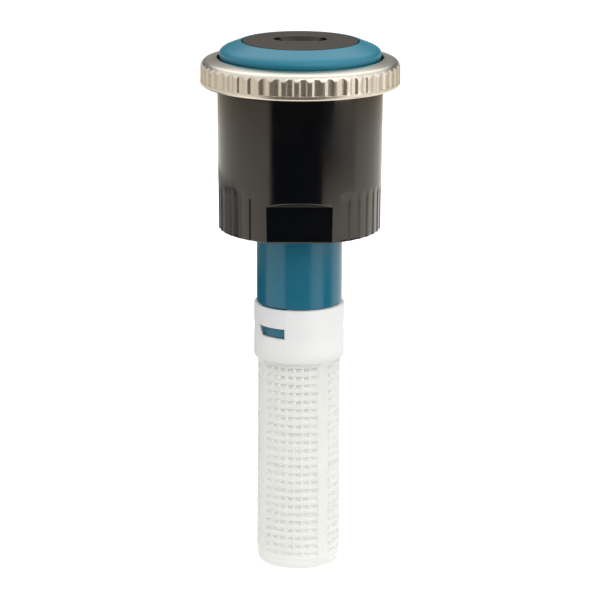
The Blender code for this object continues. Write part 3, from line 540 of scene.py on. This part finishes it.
def funnel_outline(angle):
    start, end = SHUTTER_ARC
    inside = apart(angle, (start + end) / 2) <= (end - start) / 2
    plate = SHUTTER_BORE if inside else 5.9
    return rounded([
        (5.9, 13.9, 0.1), (9.45, 13.9, 0.1), (9.45, 15.3, 0.1), (9.05, 15.3, 0), (9.05, 16.6, 0),
        (10.4, 16.6, 0.1), (10.4, 18.4, 0), (9.5, 18.4, 0), (9.5, 19.6, 0), (10.4, 19.6, 0), (10.4, 22.0, 0),
        (11.75, 22.0, 0.08), (11.75, 22.6, 0.1), (9.6, 22.6, 0.15), (9.6, 21.6, 0.2), (5.0, 17.6, 0.2),
        (5.0, 15.6, 0.05),
        (5.9, 15.6, 0), (5.9, 15.4, 0), (plate, 15.4, 0), (plate, 14.5, 0), (5.9, 14.5, 0)])


funnel_angles = in_order(even_angles(144), [SHUTTER_ARC[0] - 0.3, SHUTTER_ARC[1] + 0.3])
make("arc_funnel", turned(funnel_outline, funnel_angles), black_abs, "arc_ring", ["arc_collar"])


# Stem

def stem_outline(angle):
    lug = min(apart(angle, middle) for middle in LUG_MIDDLES)
    rib = min(apart(angle, middle) for middle in RIB_MIDDLES)
    raised = blend(LUG_RADIUS, SPIGOT_RADIUS, (lug - LUG_HALF_ANGLE) / 0.7)
    bore = blend(RIB_RADIUS, STEM_BORE, (rib - RIB_HALF_ANGLE) / 1.0)
    low, high = LUG_SPAN
    return rounded([
        (STEM_BORE, -17.0, 0.1), (SPIGOT_RADIUS, -17.0, 0.2), (SPIGOT_RADIUS, low, 0),
        (raised, low + 0.05, 0.08), (raised, high - 0.05, 0.08), (SPIGOT_RADIUS, high, 0),
        (SPIGOT_RADIUS, STEM_SHOULDER, 0),
        (STEM_RADIUS, STEM_SHOULDER, 0.15), (STEM_RADIUS, -4.0, 0), (STEM_RADIUS, 4.0, 0),
        (STEM_RADIUS, 12.2, 0.1), (7.6, 12.2, 0.1), (7.6, 13.6, 0.15), (STEM_BORE, 13.6, 0.15),
        (STEM_BORE, 6.3, 0), (bore, 6.0, 0),
        (bore, -16.6, 0)])


def stem_angles():
    edges = []
    for middle in LUG_MIDDLES:
        edges += [middle + side * (LUG_HALF_ANGLE + 0.7 * share)
                  for side in (-1, 1) for share in (0.0, 0.5, 1.0)]
    for middle in RIB_MIDDLES:
        edges += [middle + side * (RIB_HALF_ANGLE + share) for side in (-1, 1) for share in (0.0, 0.5, 1.0)]
    return in_order(even_angles(120), edges)


make("stem_tube", turned(stem_outline, stem_angles()), polished_teal, "base", ["stem"])


# Filter basket: a lattice of rows and columns, solid or open in each cell

def cage_radius(z):
    low, high = CAGE_SPAN
    return CAGE_RADIUS + (CAGE_TOP_RADIUS - CAGE_RADIUS) * (z - low) / (high - low)


def skin_radius(z):
    """Outside of the posts, the flare and the collar."""
    low, high, drawn_in = FOOT_DRAFT
    post = cage_radius(z) + POST_RISE - blend(drawn_in, 0.0, (z - low) / (high - low))
    return blend(post, COLLAR_RADIUS, (z - FLARE[0]) / (FLARE[1] - FLARE[0]))


def basket_rows():
    """Rows from the foot's middle to the collar's rim: kind, then height and radius outside and inside."""
    rows = [("foot", z, r, FILTER_FLOOR, min(r, CAGE_BORE - 0.4)) for r, z in (
        (0.0, -50.2), (0.7, -50.2), (0.8, -50.05), (4.3, -50.05), (4.5, FILTER_BOTTOM), (5.66, FILTER_BOTTOM),
        (5.77, FILTER_BOTTOM + 0.04))]
    rows += [("foot", z, r, FILTER_FLOOR + 0.3, CAGE_BORE)
             for r, z in ((5.82, FILTER_BOTTOM + 0.14), (5.95, -49.8))]
    rows.append(("skin", PANEL_BOTTOM - PANEL_LEDGE, skin_radius(PANEL_BOTTOM), -48.95, CAGE_BORE))
    marks = [(PANEL_BOTTOM, 0.2, "bar", PANEL_BOTTOM), (PANEL_BOTTOM + 0.1, 0.2, "bar", PANEL_BOTTOM + 0.1)]
    for i in reversed(range(SLOT_ROWS)):
        middle = FIRST_SLOT - SLOT_PITCH * i
        under, over = middle - SLOT_HALF, middle + SLOT_HALF
        marks += [(under - up, back, "bar", under - up) for up, back in reversed(BAR_ROUND[1:])]
        marks += [(under, BAR_ROUND[0][1], "slot", middle - SLOT_HALF_INSIDE),
                  (under + 0.09, None, "slot", middle - SLOT_HALF_INSIDE / 2),
                  (over - 0.09, None, "slot", middle + SLOT_HALF_INSIDE / 2),
                  (over, BAR_ROUND[0][1], "bar", middle + SLOT_HALF_INSIDE)]
        marks += [(over + up, back, "bar", over + up) for up, back in BAR_ROUND[1:]]
    marks += [(PANEL_TOP - down, back, "bar", PANEL_TOP - down) for down, back in ((0.22, 0.03), (0.12, 0.12),
                                                                                   (0.06, 0.28))]
    rows += [(kind, z, back, inside, None) for z, back, kind, inside in marks]
    steps = [PANEL_TOP + PANEL_LEDGE * 0.2, -18.9, -18.75, -18.62, -18.4]
    rows += [("skin", z, skin_radius(z), z, CAGE_BORE) for z in steps]
    low, high = WINDOW_SPAN
    rows += [("skin", -17.4, COLLAR_RADIUS, -17.4, COLLAR_BORE),
             ("skin", low - 0.14, COLLAR_RADIUS, low, COLLAR_BORE),
             ("window", low, COLLAR_RADIUS - 0.06, low, COLLAR_BORE),
             ("relief", high, COLLAR_RADIUS - 0.06, high, COLLAR_BORE),
             ("relief", high + 0.14, COLLAR_RADIUS, high + 0.1, COLLAR_BORE),
             ("relief", COLLAR_TOP - 0.2, COLLAR_RADIUS, COLLAR_TOP - 0.2, COLLAR_BORE),
             ("relief", COLLAR_TOP - 0.06, COLLAR_RADIUS - 0.04, COLLAR_TOP - 0.05, COLLAR_BORE),
             ("relief", COLLAR_TOP, COLLAR_RADIUS - 0.14, COLLAR_TOP, COLLAR_BORE)]
    return rows


def basket_columns():
    """Columns around the basket: angle, kind of line, and whether the cell after it opens in a slot."""
    columns = []
    for i, (start, end) in enumerate(POSTS):
        middle = (start + end) / 2
        left = WINDOW_LEFT_REST + (180.0 if i == 2 else 0.0)
        inside = [start + 0.8, left - 6.5, left, end - 0.8] if i % 2 == 0 else \
            [start + 0.8, middle - 4.0, middle, middle + 4.0, end - 0.8]
        columns += [(start, "edge", False)] + [(a, "left" if a == left else "post", False) for a in inside]
        after = POSTS[(i + 1) % 4][0] + (360.0 if i == 3 else 0.0)
        pitch = (after - end) / CELLS[i]
        columns += [(end, "edge", True), (end + pitch / 2, "bar", True)]
        for k in range(1, CELLS[i]):
            rib = end + pitch * k
            columns += [(rib - RIB_FLANK, "flank", False), (rib - RIB_CORE, "core", False),
                        (rib + RIB_CORE, "core", False), (rib + RIB_FLANK, "flank", True),
                        (rib + pitch / 2, "bar", True)]
    return columns


def window_lean(z):
    """How far the window's slanted end moves the column that carries it."""
    low, high = WINDOW_SPAN
    if abs(z - low) < 0.2:
        return WINDOW_LEFT[0] - WINDOW_LEFT_REST
    return WINDOW_LEFT[1] - WINDOW_LEFT_REST if abs(z - high) < 0.2 else 0.0


def outer_spot(row, column):
    kind, z, size = row[:3]
    angle, line = column[:2]
    if kind in ("bar", "slot"):
        cage = cage_radius(z)
        if line in ("post", "left"):
            radius = skin_radius(z)
        elif line == "edge":
            radius = cage - 0.03
        elif size is None:
            radius = RIB_FACE if line == "core" else RIB_FACE - 0.2
        else:
            radius = cage - size
        return spot(radius, angle, z)
    return spot(size, angle + (window_lean(z) if line == "left" else 0.0), z)


def inner_spot(row, column):
    kind, z, radius = row[0], row[3], row[4]
    angle, line = column[:2]
    if radius is None:
        radius = {"bar": BAR_BORE, "flank": BAR_BORE - 0.12}.get(line, CAGE_BORE)
    if kind in ("window", "relief"):
        near = min(apart(angle, middle) for middle in LUG_MIDDLES)
        radius = RELIEF_RADIUS if near <= LUG_HALF_ANGLE + 1.0 else radius
        if line == "left" and window_lean(z):
            angle += window_lean(z) - WINDOW_UNDERCUT
    return spot(radius, angle, z)


def basket():
    rows, columns = basket_rows(), basket_columns()
    across, up = len(columns), len(rows)
    points = [outer_spot(row, column) for row in rows for column in columns]
    points += [inner_spot(row, column) for row in rows for column in columns]
    inner = up * across
    windows = [(middle - LUG_HALF_ANGLE - 1.0, middle + LUG_HALF_ANGLE) for middle in LUG_MIDDLES]

    def is_open(row, column):
        if not 0 <= row < up - 1:
            return row >= 0
        kind = rows[row][0]
        angle, _, opens = columns[column % across]
        if kind == "window":
            return any(start <= (angle - start) % 360.0 + start < end for start, end in windows)
        return kind == "slot" and opens

    faces = []
    for row in range(up - 1):
        for column in range(across):
            if is_open(row, column):
                continue
            right = (column + 1) % across
            a, b = row * across + column, row * across + right
            c, d = a + across, b + across
            faces += [(a, b, d, c), (inner + c, inner + d, inner + b, inner + a)]
            for beyond, p, q in (((row - 1, column), a, b), ((row, right), b, d), ((row + 1, column), d, c),
                                 ((row, column - 1), c, a)):
                if is_open(*beyond):
                    faces.append((q, p, inner + p, inner + q))
    return points, faces


make("filter_basket", basket(), white_nylon, "filter", ["inlet_filter"], crease=60.0)


# Shaft, spring and small pieces inside

def shaft_outline(angle):
    low, high = SHAFT_SPAN
    root = SHAFT_RADIUS - 0.3
    corners = [(0.0, low, 0), (SHAFT_RADIUS, low, 0.25)]
    for bottom in CLIP_GROOVES:
        corners += [(SHAFT_RADIUS, bottom, 0.04), (root, bottom, 0), (root, bottom + CLIP_GROOVE_HEIGHT, 0),
                    (SHAFT_RADIUS, bottom + CLIP_GROOVE_HEIGHT, 0.04)]
    return rounded(corners + [(SHAFT_RADIUS, high, 0.2), (0.0, high, 0)])


shaft = make("slotted_shaft", turned(shaft_outline, even_angles(64)), drawn_steel, "shaft",
             ["shaft"])


def cut_slot(piece, size, z):
    """Cuts a straight slot across the top of a piece."""
    builder = bmesh.new()
    bmesh.ops.create_cube(builder, size=1.0)
    bmesh.ops.scale(builder, vec=[s * MM for s in size], verts=builder.verts)
    bmesh.ops.translate(builder, vec=(0.0, 0.0, z * MM), verts=builder.verts)
    mesh = bpy.data.meshes.new("slot_cutter")
    builder.to_mesh(mesh)
    builder.free()
    cutter = bpy.data.objects.new("slot_cutter", mesh)
    bpy.context.collection.objects.link(cutter)
    step = piece.modifiers.new("slot", "BOOLEAN")
    step.operation = "DIFFERENCE"
    step.solver = "EXACT"
    step.object = cutter
    bpy.context.view_layer.update()
    cut = bpy.data.meshes.new_from_object(piece.evaluated_get(bpy.context.evaluated_depsgraph_get()))
    piece.modifiers.clear()
    piece.data = cut
    bpy.data.objects.remove(cutter)


cut_slot(shaft, SHAFT_SLOT, SHAFT_SPAN[1])


def coil_section(angle, z, rise):
    """Round wire, leaning with the coil's rise."""
    points = []
    for i in range(10):
        turn = math.tau * i / 10
        along = -math.sin(turn) * SPRING_WIRE * rise
        points.append(spot(SPRING_RADIUS + SPRING_WIRE * math.cos(turn), angle + along,
                           z + SPRING_WIRE * math.sin(turn)))
    return points


def coil_path():
    low, high = SPRING_SPAN[0] + SPRING_WIRE, SPRING_SPAN[1] - SPRING_WIRE
    count = SPRING_TURNS * 48
    steps = []
    for i in range(count + 1):
        share = i / count
        # the end coils lie nearly flat
        closed = 0.5 - 0.5 * math.cos(math.pi * share)
        steps.append((360.0 * SPRING_TURNS * share, low + (high - low) * (0.35 * share + 0.65 * closed), 6.0))
    return steps


spring = make("coil_spring", swept(coil_path(), coil_section), drawn_steel, "base",
              ["return_spring"])
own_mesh(spring)


def cord_ring(radius, cord, z):
    """Round-section rubber ring."""
    turns = [math.tau * i / 16 for i in range(16)]
    loop = [(radius + cord * math.cos(turn), z + cord * math.sin(turn)) for turn in turns]
    return turned(lambda angle: loop, even_angles(96))


def collar(inner, outer, bottom, top, edge=0.1):
    """Plain ring or bush with rounded edges."""
    loop = rounded([(inner, bottom, edge), (outer, bottom, edge), (outer, top, edge), (inner, top, edge)])
    return turned(lambda angle: loop, even_angles(72))


def lip_seal():
    loop = rounded([(1.78, 18.95, 0.1), (2.8, 18.95, 0.1), (2.8, 20.7, 0.1), (2.08, 20.7, 0.1),
                    (1.48, 20.4, 0.1), (1.98, 19.6, 0.2)])
    return turned(lambda angle: loop, even_angles(72))


make("stem_seal", cord_ring(7.0, 0.26, 11.9), nitrile_rubber, "base", ["stem_o_ring"])
make("funnel_seal", cord_ring(10.02, 0.38, 19.0), nitrile_rubber, "arc_ring",
     ["arc_collar_o_ring"])
make("cap_seal", cord_ring(6.7, 0.3, 25.68), nitrile_rubber, "deflector", ["cap_o_ring"])
make("flat_washer", collar(6.73, 7.4, 8.8, 9.9), nitrile_rubber, "base", ["riser_washer"])
make("wiper_seal", lip_seal(), nitrile_rubber, "deflector", ["shaft_lip_seal"])
make("lower_bush", collar(1.5, 5.45, 21.0, 21.7), natural_acetal, "deflector",
     ["lower_bearing"])
make("upper_bush", collar(1.5, 2.35, 24.2, 25.3), natural_acetal, "deflector",
     ["upper_bearing"])
make("brake_drum", collar(1.45, 5.0, 21.95, 23.9, 0.3), black_abs, "shaft", ["brake_stator"])
make("thrust_washer", collar(1.55, 3.4, 9.8, 10.3), drawn_steel, "base", ["spring_washer"])

for name, finish in (("nozzle_hub", natural_acetal), ("flow_restrictor", natural_acetal),
                     ("spring_retainer", natural_acetal), ("throttle_nut", natural_acetal),
                     ("retainer_clip", drawn_steel), ("throttle_clip", drawn_steel)):
    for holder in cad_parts[name].material_slots:
        holder.material = finish


# Stage: white table and surround, soft lamps, and a dark hood and cards that only reflections see

FLOOR_HEIGHT = -67.0
CAMERA_PLACE = (0.11, -423.7, 97.7)
CAMERA_PITCH, CAMERA_ROLL = 14.39, 0.26
CAMERA_LENS, CAMERA_SENSOR = 180.0, 36.0
TABLE_GLOW = 0.45                # added for the camera, for reflections and through see-through pieces
ROOM_LIGHT = 0.62
CARD_DISTANCE = 170.0
HOOD_RISE = (-50.0, 14.0)        # dark hood on the camera's side: from low to overhead
HOOD_LEFT = -40.0
HOOD_RIGHT = ((-9.0, 31.0), (-3.0, 48.0))   # its right edge slants between these heights, all in degrees
# Upright cards that only reflections see: shades and then angle, foot and top of both ends, and the distance
CARDS = (("grey_card_behind", ("5E5E5C", "5E5E5C"), (-236.0, 35.0, 190.0), (-124.0, 35.0, 190.0), 320.0),
         ("grey_card_right", ("2A2928", "F2F0EC"), (28.0, -30.0, -8.8), (82.0, -30.0, -8.8), 172.0),
         ("brown_card_front", ("594630", "594630"), (-40.0, -8.3, 40.0), (44.0, -8.3, 40.0), 165.0),
         ("grey_card_left", ("2C2C2B", "A8A7A3"), (-178.0, -66.0, -10.0), (-97.0, -66.0, -14.5), 100.0),
         ("dark_card_left", ("161615", "161615"), (-150.0, -66.0, -27.0), (-99.0, -66.0, -27.0), 98.0),
         ("dark_card_right", ("0A0A0B", "0A0A0B"), (64.0, -40.0, -16.0), (94.0, -40.0, -16.0), 60.0))
# Flat cards just above the table: colour, radius, height above it and glow
FLAT_CARDS = (("white_card_below", "FCF9F3", 420.0, 0.7, 0.13),
              ("cream_card_below", "EBDFCC", 465.0, 0.6, 0.0),
              ("tan_card_below", "A98A5A", 900.0, 0.5, 0.0))


def seen_directly(tree):
    """1 for rays from the camera, a glossy surface or a see-through one, else 0."""
    path = add(tree, "LightPath").outputs
    pair = add(tree, "Math", {0: path["Is Camera Ray"], 1: path["Is Glossy Ray"]}, operation="MAXIMUM")
    return add(tree, "Math", {0: pair.outputs["Value"], 1: path["Is Transmission Ray"]},
               operation="MAXIMUM").outputs["Value"]


def table_white():
    made, tree = blank("white_painted_table")
    matt = add(tree, "BsdfDiffuse", {"Color": linear("E6E6E6")}).outputs["BSDF"]
    glow = add(tree, "Math", {0: seen_directly(tree), 1: TABLE_GLOW}, operation="MULTIPLY").outputs["Value"]
    light = add(tree, "Emission", {"Color": linear("FFFFFF"), "Strength": glow}).outputs["Emission"]
    both = add(tree, "AddShader", {0: matt, 1: light}).outputs["Shader"]
    add(tree, "OutputMaterial", {"Surface": both})
    return made


def card_paper(name, shades, angles=(0.0, 90.0), glow=0.0):
    """Matt paper, printed from one shade to another between two angles about the axis."""
    made, tree = blank(name)
    place = add(tree, "TexCoord").outputs["Object"]
    around = add(tree, "TexGradient", {"Vector": place}, gradient_type="RADIAL").outputs["Fac"]
    start, end = [angle / 360.0 + 0.25 for angle in angles]
    share = add(tree, "MapRange", {"Value": around, "From Min": start, "From Max": end}).outputs["Result"]
    colour = add(tree, "MixRGB", {"Fac": share, "Color1": linear(shades[0]), "Color2": linear(shades[1])})
    matt = add(tree, "BsdfDiffuse", {"Color": colour.outputs["Color"]}).outputs["BSDF"]
    light = add(tree, "Emission", {"Color": colour.outputs["Color"], "Strength": glow}).outputs["Emission"]
    both = add(tree, "AddShader", {0: matt, 1: light}).outputs["Shader"]
    add(tree, "OutputMaterial", {"Surface": both})
    return made


def stage_sheet(name, rows, finish, only_reflected=True):
    """Sheet through rows of points. One that is only reflected neither shows nor shades anything."""
    across = len(rows[0])
    faces = [(i * across + j, i * across + j + 1, (i + 1) * across + j + 1, (i + 1) * across + j)
             for i in range(len(rows) - 1) for j in range(across - 1)]
    mesh = bpy.data.meshes.new(name)
    mesh.from_pydata([point for row in rows for point in row], [], faces)
    mesh.materials.append(finish)
    made = bpy.data.objects.new(name, mesh)
    bpy.context.collection.objects.link(made)
    if only_reflected:
        made.visible_camera = made.visible_diffuse = made.visible_shadow = made.visible_transmission = False
    return made


def steps(low, high, count=12):
    return [low + (high - low) * i / count for i in range(count + 1)]


def soft_lamp(name, place, aim, size, radiance, reflected=True):
    """Rectangular lamp, its power worked out from how bright its face looks."""
    data = bpy.data.lights.new(name, "AREA")
    data.shape = "RECTANGLE"
    data.size, data.size_y = size[0] * MM, size[1] * MM
    data.energy = radiance * math.pi * data.size * data.size_y
    made = bpy.data.objects.new(name, data)
    bpy.context.collection.objects.link(made)
    made.location = [c * MM for c in place]
    made.rotation_euler = (Vector(aim) - Vector(place)).to_track_quat("-Z", "Y").to_euler()
    made.visible_glossy = reflected
    return made


stage_sheet("table", [[(x * MM, y * MM, FLOOR_HEIGHT * MM) for x in (-3000, 3000)] for y in (-3000, 3000)],
            table_white(), only_reflected=False)
hood = []
(low, low_edge), (high, high_edge) = HOOD_RIGHT
for rise in steps(*HOOD_RISE, 64):
    reach, height = CARD_DISTANCE * math.cos(math.radians(rise)), CARD_DISTANCE * math.sin(math.radians(rise))
    right = low_edge + (high_edge - low_edge) * min(max((rise - low) / (high - low), 0.0), 1.0)
    hood.append([spot(reach, turn, height) for turn in steps(HOOD_LEFT, right)])
for card_name, colour, radius, height, glow in FLAT_CARDS:
    rows = [[spot(reach, turn, FLOOR_HEIGHT + height) for turn in steps(0.0, 360.0, 48)]
            for reach in (1.0, radius)]
    stage_sheet(card_name, rows, card_paper(card_name + "_paper", (colour, colour), glow=glow))
stage_sheet("camera_hood", hood, card_paper("black_flocked_paper", ("0A0A0B", "0A0A0B")))
for card_name, shades, start, end, distance in CARDS:
    rows = [[spot(distance, turn, start[edge] + (end[edge] - start[edge]) * i / 12)
             for i, turn in enumerate(steps(start[0], end[0]))] for edge in (1, 2)]
    stage_sheet(card_name, rows, card_paper(card_name + "_paper", shades, (start[0], end[0])))

soft_lamp("lamp_above", (0, 330, 600), (0, 0, 0), (820, 560), 0.75)
soft_lamp("lamp_right", (620, -20, 160), (0, 0, 0), (420, 520), 0.25)
soft_lamp("lamp_low_right", (277, -160, 8), (0, 0, 8), (165, 104), 1.2)
soft_lamp("lamp_front", (300, -480, 400), (0, 0, -10), (700, 600), 1.0)
soft_lamp("lamp_overhead", (0, -120, 650), (0, 0, 0), (950, 700), 1.05, reflected=False)

world = bpy.data.worlds.new("studio")
bpy.context.scene.world = world
world.use_nodes = True
sky = world.node_tree
sky.nodes.clear()
level = add(sky, "MapRange", {"Value": seen_directly(sky), "To Min": ROOM_LIGHT, "To Max": 1.0})
background = add(sky, "Background", {"Color": linear("FFFFFF"), "Strength": level.outputs["Result"]})
add(sky, "OutputWorld", {"Surface": background.outputs["Background"]})

camera_data = bpy.data.cameras.new("camera")
camera_data.lens = CAMERA_LENS
camera_data.sensor_width = CAMERA_SENSOR
camera_data.clip_start, camera_data.clip_end = 0.01, 20.0
camera = bpy.data.objects.new("camera", camera_data)
bpy.context.collection.objects.link(camera)
camera.location = [c * MM for c in CAMERA_PLACE]
tilt = Matrix.Rotation(math.radians(90.0 - CAMERA_PITCH), 3, "X")
camera.rotation_euler = (tilt @ Matrix.Rotation(math.radians(CAMERA_ROLL), 3, "Z")).to_euler()
bpy.context.scene.camera = camera
bpy.context.scene.view_settings.view_transform = "Standard"
